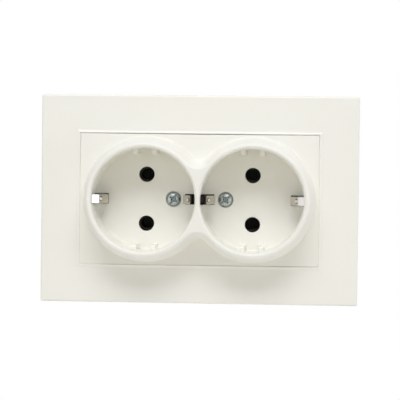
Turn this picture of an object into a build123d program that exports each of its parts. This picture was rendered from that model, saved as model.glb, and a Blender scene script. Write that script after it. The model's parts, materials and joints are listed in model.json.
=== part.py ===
from build123d import *
import os
from math import atan2, degrees, hypot, isclose, sqrt

# Flush twin socket: two round earthed cups side by side on one centre plate, in a flat frame.
# Millimetres. X runs right and Z up as seen from the front, and the front faces -Y.
# The wall's surface is the plane y = 0. A reach is a distance in front of it, towards the room,
# and a depth is a distance behind it, in the wall box.

# Cups
cup_radius = 19.5
cup_depth = 17.5
cup_wall = 1.8
cup_floor = 2.2
web = 2.0
floor_room = 1.3
lip_chamfer = 0.8
web_land = 0.4

# Figure-8 ring round the two cups
rim_land = 2.2
rim_foot = 4.6
waist_radius = 3.3
rim_chamfer = 0.7
core_wall = 1.8

# Centre plate that carries the cups
plate_side_margin = 1.3
plate_top_margin = 1.1
plate_sheet = 2.0
plate_step = 0.3
plate_edge_chamfer = 0.4
plate_top_bow = 0.25

# Guide ribs in each cup
rib_width = 2.0
rib_height = 2.3
rib_offset = 3.6
rib_start = 6.7
rib_nose_radius = 0.9

# Slots for the earth clips
slot_height = 4.1
slot_reach = 4.7
slot_pocket = 1.0
slot_top = 2.5

# Pin holes
pin_spacing = 19.0
pin_hole_radius = 2.875
pin_hole_chamfer = 0.3

# Cover screws
screw_offset = 10.45
screw_radius = 1.5
screw_head_radius = 2.8
screw_head_height = 2.0
screw_head_chamfer = 0.6
screw_head_gap = 0.25
screw_seat = 1.2
screw_boss_radius = 2.5
screw_grip = 5.0
drive_arm_width = 0.8
drive_arm_length = 3.2
drive_depth = 1.2
drive_slot_width = 0.7
drive_slot_depth = 0.6
left_screw_turn = 57.0
right_screw_turn = 38.0

# Frame
frame_reach = 9.5
frame_side_border = 15.1
frame_top_border = 14.8
frame_wall = 2.0
frame_edge_radius = 0.8
window_gap = 0.05
bevel_width = 1.6
bevel_rise = 0.8
ledge_width = 2.0
ledge_sheet = 1.6
frame_rib_width = 1.2
frame_rib_gap = 0.6
frame_rib_count = 3

# Mounting plate
steel_sheet = 1.2
box_screw_spacing = 60.0
box_slot_radius = 2.1
box_slot_length = 7.0
box_slot_edge = 1.5
steel_side_edge = 2.0
steel_corner = 8.0
steel_lip_reach = 2.4
steel_gap = 0.2

# Earth bridge and clips
strip_sheet = 0.8
bridge_width = 8.0
clip_width = 3.3
clip_sheet = 0.6
clip_bulge = 4.8
clip_bulge_to_knee = 5.0
clip_knee_to_tip = 2.0
clip_tip_to_slot = 3.0
clip_bend_radius = 1.0
outer_foot = 2.4
outer_knee = 1.9
outer_tip = 0.5
inner_foot = 2.0
inner_tip = 1.9
lug_width = 6.0

# Rivets
rivet_radius = 1.5
rivet_head_radius = 2.0
rivet_head_height = 0.8
flush_rivet_radius = 1.2
flush_rivet_head_radius = 2.1
flush_rivet_head_height = 0.6
rivet_gap = 0.1

# Pin contacts: a brass strip bent into a hairpin round each pin, with a steel spring outside
leaf_gap = 4.0
hairpin_offset = 0.7
leaf_length = 4.0
rail_depth = 2.0
rail_height = 9.0
spring_sheet = 0.5
spring_gap = 0.1
spring_height = 5.0
spring_length = 2.0
contact_gap = 0.3
pin_length = 19.0
pin_end_room = 1.0

# Terminals
tab_length = 8.0
tab_width = 9.0
wire_gap = 2.0
saddle_sheet = 1.2
saddle_length = 7.0
saddle_gap = 0.2
terminal_screw_radius = 1.5
terminal_tip = 1.2
terminal_head_radius = 2.6
terminal_head_height = 2.0
terminal_slot_width = 0.8
terminal_room = 0.8
terminal_wall = 1.9
wire_hole_radius = 1.4
wire_hole_offset = 3.2
thread_gap = 0.05

# Base
base_wall = 1.4
inner_wall = 0.7
base_chamfer = 0.8

# Fixing claws, their screws and square nuts
claw_sheet = 1.2
claw_advance = 6.0
claw_spread = 2.5
claw_gap = 0.25
claw_side_gap = 0.5
claw_notch_wall = 1.2
claw_rear_gap = 0.9
claw_edge = 1.2
claw_rim = 0.8
claw_tooth = 1.0
claw_teeth = 3
claw_screw_radius = 1.5
claw_screw_gap = 0.3
claw_head_radius = 2.6
claw_head_height = 1.6
claw_head_gap = 0.05
claw_slot_width = 0.8
claw_slot_depth = 0.8
claw_access_gap = 0.6
nut_half = 2.6
nut_sheet = 2.4
nut_gap = 0.15

# Depth stack from the wall plane to the rim
bridge_front = steel_sheet + strip_sheet
floor_back = bridge_front + floor_room
floor_front = floor_back + cup_floor
rim_reach = floor_front + cup_depth
plate_reach = frame_reach + plate_step
plate_back = plate_reach - plate_sheet

# Front view sizes
cup_x = cup_radius + web / 2
pin_z = pin_spacing / 2
ring_foot_radius = cup_radius + rim_foot
ring_rim_radius = cup_radius + rim_land
plate_width = 2 * (cup_x + ring_foot_radius + plate_side_margin)
plate_height = 2 * (ring_foot_radius + plate_top_margin)
steel_width = 2 * (cup_x + cup_radius + steel_side_edge)
steel_height = box_screw_spacing + box_slot_length + 2 * box_slot_edge
frame_width = max(plate_width + 2 * frame_side_border, steel_width + 2 * (frame_wall + steel_gap))
frame_height = max(plate_height + 2 * frame_top_border, steel_height + 2 * (frame_wall + steel_gap))
window_width = plate_width + 2 * window_gap
window_height = plate_height + 2 * window_gap
cover_screw_x = cup_x - screw_offset

# Contacts and terminals inside the base
hairpin_radius = leaf_gap / 2 + strip_sheet / 2
hairpin_x = cup_x + hairpin_offset
rail_z = pin_z + hairpin_radius
chamber_radius = leaf_gap / 2 + strip_sheet + spring_gap + spring_sheet + contact_gap
channel_half = strip_sheet / 2 + spring_gap + spring_sheet
tab_end = rail_depth + rail_height + tab_length
terminal_y = rail_depth + rail_height + tab_length / 2
terminal_bottom = strip_sheet / 2 + terminal_tip + contact_gap
terminal_half_width = tab_width / 2 + terminal_room
saddle_bottom = strip_sheet / 2 + wire_gap
lug_x = 2 * terminal_half_width + terminal_wall
lug_z = rail_z + channel_half + inner_wall + terminal_bottom
base_top = lug_z + saddle_bottom + saddle_sheet + terminal_head_height
terminal_depth = tab_end + contact_gap
base_depth = terminal_depth + base_wall
contact_depth = pin_length - floor_front + pin_end_room
base_radius = hypot(hairpin_x, pin_z) + chamber_radius + base_wall

# Claws
rivet_x = cover_screw_x + screw_boss_radius + rivet_head_radius + screw_head_gap
notch_half = pin_z - chamber_radius - claw_notch_wall
claw_half = notch_half - claw_side_gap
claw_rear = base_depth - claw_rear_gap
nut_back = claw_rear - claw_sheet - nut_gap
nut_front = nut_back - nut_sheet
claw_front = nut_front - nut_gap - claw_sheet
claw_slope = claw_spread / claw_advance
claw_slant = hypot(1, claw_slope)
ramp_rear_x = rivet_x + rivet_radius + inner_wall + rivet_gap
ramp_end = claw_front - claw_advance - claw_gap


def ramp_x(depth):
    """Distance from the middle to the base's ramp, which runs outwards towards the front."""
    return ramp_rear_x + claw_slope * (claw_rear - depth)


def claw_web_x(depth):
    """Distance from the middle to the claw's outer web face at rest."""
    return ramp_x(depth) + (claw_gap + claw_sheet) * claw_slant


claw_screw_x = claw_web_x(nut_front) + claw_spread + claw_gap + nut_half
claw_hole_radius = claw_screw_radius + claw_screw_gap
claw_gum_x = claw_screw_x + claw_hole_radius + claw_rim
claw_tip_x = claw_gum_x + claw_tooth
access_radius = claw_head_radius + claw_access_gap
opening_x = hairpin_x + chamber_radius + contact_gap
opening_z = rail_z + channel_half + inner_wall
opening_notch_x = claw_screw_x - claw_head_radius - claw_edge
opening_notch_z = notch_half + contact_gap

# Earth bridge
wall_x = cup_x + cup_radius
clip_foot_x = wall_x - outer_foot
strip_end = clip_foot_x - clip_bend_radius - strip_sheet
access_end = claw_screw_x + access_radius + claw_edge
flush_rivet_x = (access_end + strip_end) / 2


def at_reach(reach):
    """Drawing plane parallel to the wall that faces the room, at this distance from the wall."""
    return Plane.XZ.offset(reach)


def slab(outline, back, front):
    """Solid with a front-view outline between two distances from the wall."""
    return extrude(at_reach(back) * outline, amount=front - back)


def rod(radius, x, z, back, front):
    """Round solid square to the wall."""
    return slab(Pos(x, z) * Circle(radius), back, front)


def block(left, right, bottom, top, back, front):
    """Box given by its front-view sides and its two distances from the wall."""
    outline = Pos((left + right) / 2, (bottom + top) / 2) * Rectangle(right - left, top - bottom)
    return slab(outline, back, front)


def bent_strip(points, sheet, width, bend_radius):
    """Strip bent along points of (x, reach), as wide as given along Z about z = 0."""
    path = FilletPolyline(*[(x, -reach) for x, reach in points], radius=bend_radius)
    return extrude(trace(path, line_width=sheet), amount=width / 2, both=True)


def left_and_right(solid):
    """The solid and its mirror image across the middle of the part."""
    return solid + mirror(solid, Plane.YZ)


def ring_outline(radius, hollow):
    """Figure-8 outline round both cups: two large arcs joined by two hollow ones at the waist."""
    hollow_z = sqrt((radius + hollow) ** 2 - cup_x**2)
    share = radius / (radius + hollow)
    touch_x = cup_x * (1 - share)
    touch_z = hollow_z * share
    waist_z = hollow_z - hollow
    right = ThreePointArc((touch_x, touch_z), (cup_x + radius, 0), (touch_x, -touch_z))
    bottom = ThreePointArc((touch_x, -touch_z), (0, -waist_z), (-touch_x, -touch_z))
    left = ThreePointArc((-touch_x, -touch_z), (-cup_x - radius, 0), (-touch_x, touch_z))
    top = ThreePointArc((-touch_x, touch_z), (0, waist_z), (touch_x, touch_z))
    return make_face([right, bottom, left, top])


def plate_outline():
    """Centre plate's outline, whose top edge dips a little in the middle."""
    right = plate_width / 2
    top = plate_height / 2
    sides = Polyline((-right, top), (-right, -top), (right, -top), (right, top))
    dip = ThreePointArc((right, top), (0, top - plate_top_bow), (-right, top))
    return make_face([sides, dip])


def opening_outline(gap):
    """Opening of the mounting plate, with a tongue left at each claw screw."""
    outline = Rectangle(2 * (opening_x - gap), 2 * (opening_z - gap))
    tongue_inner = opening_notch_x - gap
    tongue_outer = opening_x + gap
    tongue = Rectangle(tongue_outer - tongue_inner, 2 * (opening_notch_z + gap))
    for side in (-1, 1):
        outline -= Pos(side * (tongue_inner + tongue_outer) / 2, 0) * tongue
    return outline


def guide_rib(x, side):
    """Rib along a cup's wall at its top or bottom, with a rounded front end."""
    crest = cup_radius - rib_height
    root = cup_radius + cup_wall / 2
    front = rim_reach - rib_start
    nose = rib_nose_radius
    edge = Polyline(
        (-front, root), (-floor_back, root), (-floor_back, crest), (nose - front, crest)
    )
    rounding = RadiusArc((nose - front, crest), (-front, crest + nose), nose)
    close = Line((-front, crest + nose), (-front, root))
    profile = make_face([edge, rounding, close])
    rib = Pos(x, 0, 0) * extrude(Plane.YZ * profile, amount=rib_width / 2, both=True)
    if side < 0:
        rib = mirror(rib, Plane.XY)
    return rib


def make_frame():
    """Flat surround: skirted sheet with a bevelled window edge, a ledge behind it and ribs."""
    body = slab(Rectangle(frame_width, frame_height), 0, frame_reach)
    body = fillet(body.edges() - body.edges().group_by(Axis.Y)[-1], frame_edge_radius)
    inner_width = frame_width - 2 * frame_wall
    inner_height = frame_height - 2 * frame_wall
    sheet_back = frame_reach - frame_wall
    body -= slab(Rectangle(inner_width, inner_height), 0, sheet_back)
    bevel_foot = Rectangle(window_width + 2 * bevel_width, window_height + 2 * bevel_width)
    bevel_angle = degrees(atan2(bevel_width, bevel_rise))
    body += extrude(at_reach(frame_reach) * bevel_foot, amount=bevel_rise, taper=bevel_angle)
    ledge_back = plate_back - ledge_sheet
    ledge = Rectangle(window_width + 2 * frame_wall, window_height + 2 * frame_wall)
    body += slab(ledge, ledge_back, frame_reach)
    for index in range(frame_rib_count):
        share = (index + 0.5) / frame_rib_count - 0.5
        x = share * window_width
        z = share * window_height
        half = frame_rib_width / 2
        reach = (steel_lip_reach + frame_rib_gap, frame_reach)
        for side in (-1, 1):
            near_z, far_z = sorted((side * window_height / 2, side * inner_height / 2))
            near_x, far_x = sorted((side * window_width / 2, side * inner_width / 2))
            body += block(x - half, x + half, near_z, far_z, *reach)
            body += block(near_x, far_x, z - half, z + half, *reach)
    body -= slab(Rectangle(window_width, window_height), plate_back, frame_reach + bevel_rise)
    through = Rectangle(window_width - 2 * ledge_width, window_height - 2 * ledge_width)
    return body - slab(through, 0, frame_reach)


def make_front_cover():
    """Centre plate, figure-8 ring and both cups in one moulding."""
    draft = degrees(atan2(rim_foot - rim_land, rim_reach - plate_reach))
    foot = ring_outline(ring_foot_radius, waist_radius)
    ring = extrude(at_reach(plate_reach) * foot, amount=rim_reach - plate_reach, taper=draft)
    ring = chamfer(ring.edges().group_by(Axis.Y)[0], rim_chamfer)
    sheet = slab(plate_outline(), plate_back, plate_reach)
    sheet = chamfer(sheet.edges().group_by(Axis.Y)[0], plate_edge_chamfer)
    body = sheet + ring
    core = ring_outline(ring_rim_radius - core_wall, waist_radius + core_wall)
    core = slab(core, plate_back, rim_reach - core_wall)
    for x in (-cup_x, cup_x):
        core -= rod(cup_radius + cup_wall, x, 0, plate_back, rim_reach)
    body -= core
    for x in (-cup_x, cup_x):
        body += rod(cup_radius + cup_wall, x, 0, floor_back, plate_reach)
    for x in (-cup_x, cup_x):
        body -= rod(cup_radius, x, 0, floor_front, rim_reach)
    rim_edges = body.edges().filter_by(GeomType.CIRCLE).group_by(Axis.Y)[0]
    lips = [edge for edge in rim_edges if isclose(edge.radius, cup_radius)]
    body = chamfer(lips, min(lip_chamfer, (web - web_land) / 2))
    for x in (-cup_x, cup_x):
        for offset in (-rib_offset, rib_offset):
            for side in (-1, 1):
                body += guide_rib(x + offset, side)
    for x in (-cover_screw_x, cover_screw_x):
        body += rod(screw_boss_radius, x, 0, bridge_front, floor_front)
    return body - cover_openings()


def cover_openings():
    """Everything cut through the cup floors and walls: clip slots, pin holes and screw holes."""
    slot_half = slot_height / 2
    slot_front = rim_reach - slot_top
    middle = web / 2 + slot_reach
    cuts = block(-middle, middle, -slot_half, slot_half, floor_back, slot_front)
    inner = cup_x + cup_radius - slot_reach
    outer = cup_x + cup_radius + slot_pocket
    cuts += left_and_right(block(inner, outer, -slot_half, slot_half, floor_back, slot_front))
    for x in (-cup_x, cup_x):
        for z in (-pin_z, pin_z):
            cuts += rod(pin_hole_radius, x, z, floor_back, floor_front)
            mouth = at_reach(floor_front) * Pos(x, z) * Circle(pin_hole_radius + pin_hole_chamfer)
            cuts += extrude(mouth, amount=-pin_hole_chamfer, taper=45)
    for x in (-cover_screw_x, cover_screw_x):
        cuts += rod(screw_radius + screw_head_gap, x, 0, bridge_front, floor_front)
        seat = floor_back + screw_seat
        cuts += rod(screw_head_radius + screw_head_gap, x, 0, seat, floor_front)
    return cuts


def cover_screw(x, turn):
    """Pan-head screw with a cross and a slot in its head."""
    seat = floor_back + screw_seat
    top = seat + screw_head_height
    head = rod(screw_head_radius, x, 0, seat, top)
    head = chamfer(head.edges().group_by(Axis.Y)[0], screw_head_chamfer)
    screw = head + rod(screw_radius, x, 0, -screw_grip, seat)
    cross = Rectangle(drive_arm_width, drive_arm_length) + Rectangle(drive_arm_length, drive_arm_width)
    slot = Rectangle(2 * screw_head_radius, drive_slot_width)
    place = Pos(x, 0) * Rot(0, 0, turn)
    screw -= slab(place * cross, top - drive_depth, top)
    return screw - slab(place * slot, top - drive_slot_depth, top)


def make_mounting_plate():
    """Steel plate that lies on the wall, with two folded edges and a slot for each box screw."""
    outline = chamfer(Rectangle(steel_width, steel_height).vertices(), steel_corner)
    outline -= opening_outline(0)
    for side in (-1, 1):
        slot = SlotOverall(box_slot_length, 2 * box_slot_radius, rotation=90)
        outline -= Pos(0, side * box_screw_spacing / 2) * slot
        outline -= Pos(side * claw_screw_x, 0) * Circle(claw_screw_radius + rivet_gap)
    lug_room = lug_z + strip_sheet / 2 + steel_gap - opening_z
    lug_hole = Rectangle(lug_width + 2 * steel_gap, 2 * lug_room)
    outline -= Pos(lug_x, opening_z) * lug_hole
    plate = slab(outline, 0, steel_sheet)
    fold = steel_width / 2 - steel_corner
    edge = steel_height / 2
    for side in (-1, 1):
        low, high = sorted((side * edge, side * (edge - steel_sheet)))
        plate += block(-fold, fold, low, high, 0, steel_lip_reach)
    for x in (-flush_rivet_x, flush_rivet_x):
        plate -= flush_rivet_shank(x, rivet_gap)
    return plate


def flush_rivet_shank(x, gap):
    """Shank of a rivet whose tail is spread flush with the mounting plate's back."""
    shank = rod(flush_rivet_radius + gap, x, 0, 0, bridge_front)
    spread = flush_rivet_head_radius - flush_rivet_radius
    tail = at_reach(0) * Pos(x, 0) * Circle(flush_rivet_head_radius + gap)
    return shank + extrude(tail, amount=spread, taper=45)


def rivet_head(radius, x, back, front):
    """Low round head with a softened edge."""
    head = rod(radius, x, 0, back, front)
    return chamfer(head.edges().group_by(Axis.Y)[0], (front - back) / 2)


def make_earth_bridge():
    """Strip across both cups, with an earth clip bent up at each end and a lug for the wire."""
    strip_middle = steel_sheet + strip_sheet / 2
    outline = Rectangle(2 * strip_end, bridge_width)
    for x in (-claw_screw_x, claw_screw_x):
        outline += Pos(x, 0) * Circle(access_radius + claw_edge)
    bridge = slab(outline, steel_sheet, bridge_front)
    tip_reach = rim_reach - slot_top - clip_tip_to_slot
    knee_reach = tip_reach - clip_knee_to_tip
    clip = bent_strip(
        [
            (strip_end - strip_sheet, strip_middle),
            (clip_foot_x, strip_middle),
            (wall_x - clip_bulge, knee_reach - clip_bulge_to_knee),
            (wall_x - outer_knee, knee_reach),
            (wall_x + outer_tip, tip_reach),
        ],
        strip_sheet,
        clip_width,
        clip_bend_radius,
    )
    bridge += left_and_right(clip)
    lug_path = FilletPolyline(
        (-strip_middle, 0), (-strip_middle, lug_z), (tab_end, lug_z), radius=clip_bend_radius
    )
    lug = extrude(Plane.YZ * trace(lug_path, line_width=strip_sheet), amount=lug_width / 2, both=True)
    bridge += Pos(lug_x, 0, 0) * lug
    bridge -= terminal_hole(lug_x, lug_z)
    holes = {
        claw_screw_x: access_radius,
        rivet_x: rivet_radius + rivet_gap,
        cover_screw_x: screw_radius + thread_gap,
        flush_rivet_x: flush_rivet_radius + rivet_gap,
    }
    for x, radius in holes.items():
        bridge -= left_and_right(rod(radius, x, 0, steel_sheet, bridge_front))
    return bridge - rod(flush_rivet_radius + rivet_gap, 0, 0, steel_sheet, bridge_front)


def make_centre_earth_clip():
    """Spring on the middle of the bridge, with one clip for each cup."""
    middle = bridge_front + clip_sheet / 2
    knee_reach = rim_reach - slot_top - clip_tip_to_slot - clip_knee_to_tip
    foot_x = web / 2 + inner_foot
    arm = [
        (foot_x, middle),
        (web / 2 + clip_bulge, knee_reach - clip_bulge_to_knee),
        (web / 2 + inner_tip, knee_reach),
    ]
    points = [(-x, reach) for x, reach in reversed(arm)] + arm
    clip = bent_strip(points, clip_sheet, clip_width, clip_bend_radius)
    return clip - rod(flush_rivet_radius + rivet_gap, 0, 0, 0, floor_back)


def make_bridge_rivets():
    """Two flush rivets at the bridge's ends, and the rivet of the centre clip."""
    rivets = Part()
    for x in (-flush_rivet_x, flush_rivet_x):
        head = rivet_head(rivet_head_radius, x, bridge_front, bridge_front + rivet_head_height)
        rivets += flush_rivet_shank(x, 0) + head
    seat = bridge_front + clip_sheet
    centre = rivet_head(flush_rivet_head_radius, 0, seat, seat + flush_rivet_head_height)
    tail = rod(flush_rivet_head_radius, 0, 0, steel_sheet - flush_rivet_head_height, steel_sheet)
    return rivets + centre + tail + rod(flush_rivet_radius, 0, 0, steel_sheet, seat)


def make_base_rivets():
    """Two long rivets that clamp the bridge and the contact cover to the base."""
    rivets = Part()
    for x in (-rivet_x, rivet_x):
        rivet = rivet_head(rivet_head_radius, x, bridge_front, bridge_front + rivet_head_height)
        rivet += rod(rivet_radius, x, 0, -base_depth, bridge_front)
        rivet += rod(rivet_head_radius, x, 0, -base_depth - rivet_head_height, -base_depth)
        rivets += rivet
    return rivets


def make_contact_cover():
    """Insulating plate level with the mounting plate, which shuts the contact chambers."""
    outline = opening_outline(steel_gap)
    for x in (-cup_x, cup_x):
        for z in (-pin_z, pin_z):
            outline -= Pos(x, z) * Circle(pin_hole_radius + contact_gap)
    for x in (-cover_screw_x, cover_screw_x):
        outline -= Pos(x, 0) * Circle(screw_radius + screw_head_gap)
    for x in (-rivet_x, rivet_x):
        outline -= Pos(x, 0) * Circle(rivet_radius + rivet_gap)
    outline -= Circle(flush_rivet_head_radius + rivet_gap)
    return slab(outline, 0, steel_sheet)


def make_rail(side):
    """Brass strip with a hairpin contact at each pin, and a tab for the wires in the middle."""
    inner = cup_x - leaf_length
    far = hairpin_x + hairpin_radius
    near_z = pin_z - hairpin_radius
    half = [(inner, near_z), (far, near_z), (far, rail_z)]
    points = half + [(-x, z) for x, z in reversed(half)]
    path = FilletPolyline(*points, radius=hairpin_radius - spring_gap)
    rail = slab(trace(path, line_width=strip_sheet), -rail_depth - rail_height, -rail_depth)
    low = rail_z - strip_sheet / 2
    high = rail_z + strip_sheet / 2
    rail += block(-tab_width / 2, tab_width / 2, low, high, -tab_end, -rail_depth)
    rail -= terminal_hole(0, rail_z)
    if side < 0:
        rail = mirror(rail, Plane.XY)
    return rail


def make_spring(x_side, z_side):
    """Steel hairpin that presses the two leaves of one contact together."""
    radius = leaf_gap / 2 + strip_sheet + spring_gap + spring_sheet / 2
    inner = cup_x - spring_length
    far = hairpin_x + radius
    points = [(inner, -radius), (far, -radius), (far, radius), (inner, radius)]
    placed = [(x_side * x, z_side * (pin_z + z)) for x, z in points]
    path = FilletPolyline(*placed, radius=radius - spring_gap)
    start = rail_depth + (rail_height - spring_height) / 2
    return slab(trace(path, line_width=spring_sheet), -start - spring_height, -start)


def upright_rod(radius, x, low, high):
    """Round solid along Z at the terminals' depth."""
    return extrude(Plane.XY.offset(low) * Pos(x, terminal_y) * Circle(radius), amount=high - low)


def terminal_hole(x, z):
    """Hole through a terminal tab for its screw."""
    return upright_rod(terminal_screw_radius + thread_gap, x, z - strip_sheet, z + strip_sheet)


def terminal_screw(x, z):
    """Slotted screw of the terminal whose tab lies at this height."""
    seat = z + saddle_bottom + saddle_sheet
    top = seat + terminal_head_height
    screw = upright_rod(terminal_screw_radius, x, z - strip_sheet / 2 - terminal_tip, seat)
    screw += upright_rod(terminal_head_radius, x, seat, top)
    half = terminal_slot_width / 2
    slot_bottom = top - terminal_head_height / 2
    front = terminal_head_radius - terminal_y
    return screw - block(x - half, x + half, slot_bottom, top, front - 2 * terminal_head_radius, front)


def terminal_saddle(x, z):
    """Pressure plate held up under the terminal screw's head, with room for wires below it."""
    half = tab_width / 2
    low = z + saddle_bottom
    back = -terminal_y - saddle_length / 2
    saddle = block(x - half, x + half, low, low + saddle_sheet, back, back + saddle_length)
    return saddle - upright_rod(terminal_screw_radius + saddle_gap, x, low, low + saddle_sheet)


def three_terminals(make):
    """One piece at the live, the earth and the neutral terminal."""
    return make(0, rail_z) + make(lug_x, lug_z) + mirror(make(0, rail_z), Plane.XY)


def contact_chamber():
    """Room for the live rail: two contact chambers, the channel between them and the terminal."""
    inner = cup_x - leaf_length - contact_gap
    length = hairpin_x - inner
    outline = Pos(hairpin_x, pin_z) * Circle(chamber_radius)
    outline += Pos(inner + length / 2, pin_z) * Rectangle(length, 2 * chamber_radius)
    room = left_and_right(slab(outline, -contact_depth, 0))
    rail_end = rail_depth + rail_height + contact_gap
    low = rail_z - channel_half
    room += block(-hairpin_x, hairpin_x, low, rail_z + channel_half, -rail_end, 0)
    half = terminal_half_width
    return room + block(-half, half, rail_z - terminal_bottom, base_top, -terminal_depth, -rail_end)


def wire_holes(x, z):
    """Two wire entries from the back, between a terminal's tab and its saddle."""
    level = z + strip_sheet / 2 + wire_gap / 2
    holes = Part()
    for side in (-1, 1):
        holes += rod(wire_hole_radius, x + side * wire_hole_offset, level, -base_depth, -terminal_depth)
    return holes


def claw_notch():
    """Side recess of the base for a claw, whose floor is the ramp that spreads it."""
    outside = base_radius + base_wall
    edge = Polyline(
        (ramp_x(ramp_end), 0),
        (ramp_x(ramp_end), ramp_end),
        (ramp_x(base_depth), base_depth),
        (outside, base_depth),
        (outside, 0),
        close=True,
    )
    return extrude(make_face(edge), amount=notch_half, both=True)


def make_base():
    """Moulded base in the wall box, with chambers for the contacts and ramps for the claws."""
    outline = Circle(base_radius) & Rectangle(2 * base_radius, 2 * base_top)
    base = slab(outline, -base_depth, 0)
    base = chamfer(base.edges().group_by(Axis.Y)[-1], base_chamfer)
    chamber = contact_chamber()
    base -= chamber + mirror(chamber, Plane.XY)
    half = terminal_half_width
    base -= block(lug_x - half, lug_x + half, lug_z - terminal_bottom, base_top, -terminal_depth, 0)
    base -= left_and_right(claw_notch())
    for x in (-rivet_x, rivet_x):
        base -= rod(rivet_radius + rivet_gap, x, 0, -base_depth, 0)
    for x in (-cover_screw_x, cover_screw_x):
        base -= rod(screw_radius + screw_head_gap, x, 0, -screw_grip - contact_gap, 0)
    return base - three_terminals(wire_holes)


def make_claw():
    """Right claw at rest: a folded channel round the nut, with teeth on its front flange."""
    inner_gap = claw_gap * claw_slant
    web_edge = Polyline(
        (ramp_x(claw_rear) + inner_gap, claw_rear),
        (ramp_x(claw_front) + inner_gap, claw_front),
        (claw_web_x(claw_front), claw_front),
        (claw_web_x(claw_rear), claw_rear),
        close=True,
    )
    claw = extrude(make_face(web_edge), amount=claw_half, both=True)
    gum = claw_gum_x
    rear_start = claw_web_x(claw_rear) - claw_sheet / 2
    front_start = claw_web_x(claw_front) - claw_sheet
    claw += block(rear_start, gum, -claw_half, claw_half, -claw_rear, claw_sheet - claw_rear)
    claw += block(front_start, gum, -claw_half, claw_half, -claw_front - claw_sheet, -claw_front)
    pitch = 2 * claw_half / claw_teeth
    for index in range(claw_teeth):
        low = index * pitch - claw_half
        tooth = Polyline((gum, low), (claw_tip_x, low + pitch / 2), (gum, low + pitch), close=True)
        claw += slab(make_face(tooth), -claw_front - claw_sheet, -claw_front)
    slot = Pos(claw_screw_x - claw_spread / 2, 0) * SlotCenterToCenter(claw_spread, 2 * claw_hole_radius)
    return claw - slab(slot, -claw_rear, -claw_front)


def make_claw_nut():
    """Right square nut, which the claw's channel keeps from turning."""
    outline = Rectangle(2 * nut_half, 2 * nut_half) - Circle(claw_screw_radius + thread_gap)
    return slab(Pos(claw_screw_x, 0) * outline, -nut_back, -nut_front)


def make_claw_screw():
    """Right claw screw, whose slotted head lies on the mounting plate."""
    seat = steel_sheet + claw_head_gap
    top = seat + claw_head_height
    screw = rod(claw_head_radius, claw_screw_x, 0, seat, top)
    screw += rod(claw_screw_radius, claw_screw_x, 0, -claw_rear, seat)
    slot = Pos(claw_screw_x, 0) * Rectangle(2 * claw_head_radius, claw_slot_width)
    return screw - slab(slot, top - claw_slot_depth, top)


left_cover_screw = cover_screw(-cover_screw_x, left_screw_turn)
right_cover_screw = cover_screw(cover_screw_x, right_screw_turn)
right_claw = make_claw()
right_nut = make_claw_nut()
right_screw = make_claw_screw()
pieces = {
    "frame": make_frame(),
    "front_cover": make_front_cover(),
    "cover_screws": left_cover_screw + right_cover_screw,
    "mounting_plate": make_mounting_plate(),
    "earth_bridge": make_earth_bridge(),
    "centre_earth_clip": make_centre_earth_clip(),
    "bridge_rivets": make_bridge_rivets(),
    "contact_cover": make_contact_cover(),
    "base": make_base(),
    "base_rivets": make_base_rivets(),
    "live_rail": make_rail(1),
    "neutral_rail": make_rail(-1),
    "live_spring_left": make_spring(-1, 1),
    "live_spring_right": make_spring(1, 1),
    "neutral_spring_left": make_spring(-1, -1),
    "neutral_spring_right": make_spring(1, -1),
    "terminal_screws": three_terminals(terminal_screw),
    "terminal_saddles": three_terminals(terminal_saddle),
    "left_claw": mirror(right_claw, Plane.YZ),
    "right_claw": right_claw,
    "left_claw_nut": mirror(right_nut, Plane.YZ),
    "right_claw_nut": right_nut,
    "left_claw_screw": mirror(right_screw, Plane.YZ),
    "right_claw_screw": right_screw,
}

os.makedirs("parts", exist_ok=True)
for name, piece in pieces.items():
    export_step(piece, f"parts/{name}.step")
    print(name, len(piece.solids()), "solids", round(piece.volume), "mm3")
print("frame", frame_width, frame_height, "plate", plate_width, plate_height, "rim", rim_reach)
print("base", round(base_radius, 2), base_top, base_depth, "claw screw", claw_screw_x, claw_tip_x)
print("claw front", claw_front, "slope", claw_slope, "notch", notch_half, "ramp end", ramp_end)
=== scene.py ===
# %% [markdown]
# # A double wall socket
# This lesson dresses a finished solid model of a flush wall socket: a white frame, a centre plate
# with a figure-8 ring round both plug cups, and the metal and dark plastic parts that sit in the wall.
# The solids come in as a fixed frame in metres. +X is right and +Z is up as seen from the room,
# the front faces -Y, and the wall's surface is the plane y = 0.

# %% Load the solid model
import json
from math import copysign, pi, radians

import bmesh
import bpy
from mathutils import Matrix, Vector
from mathutils.bvhtree import BVHTree


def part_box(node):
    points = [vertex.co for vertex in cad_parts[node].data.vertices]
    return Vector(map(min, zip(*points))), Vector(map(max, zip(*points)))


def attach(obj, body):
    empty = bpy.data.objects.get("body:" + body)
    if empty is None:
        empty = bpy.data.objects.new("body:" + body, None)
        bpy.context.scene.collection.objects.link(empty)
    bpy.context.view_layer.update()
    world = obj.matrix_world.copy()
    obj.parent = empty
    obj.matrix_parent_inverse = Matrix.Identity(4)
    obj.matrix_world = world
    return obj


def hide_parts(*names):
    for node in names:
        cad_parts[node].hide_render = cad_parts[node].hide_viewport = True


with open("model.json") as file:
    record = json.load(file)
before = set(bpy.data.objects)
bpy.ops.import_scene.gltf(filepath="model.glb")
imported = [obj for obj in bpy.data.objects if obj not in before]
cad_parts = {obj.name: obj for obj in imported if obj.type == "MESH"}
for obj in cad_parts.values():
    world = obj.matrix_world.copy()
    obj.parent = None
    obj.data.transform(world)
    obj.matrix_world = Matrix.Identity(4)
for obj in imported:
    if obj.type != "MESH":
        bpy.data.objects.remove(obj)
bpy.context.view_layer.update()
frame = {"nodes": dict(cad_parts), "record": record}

MM = 0.001
nodes = frame["nodes"]
slot_of = {part["node"]: part["material_slot"] for part in frame["record"]["subparts"]}
members_of = frame["record"]["behaviour"]["bodies"]
body_of = {member: body for body, members in members_of.items() for member in members}

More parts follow.
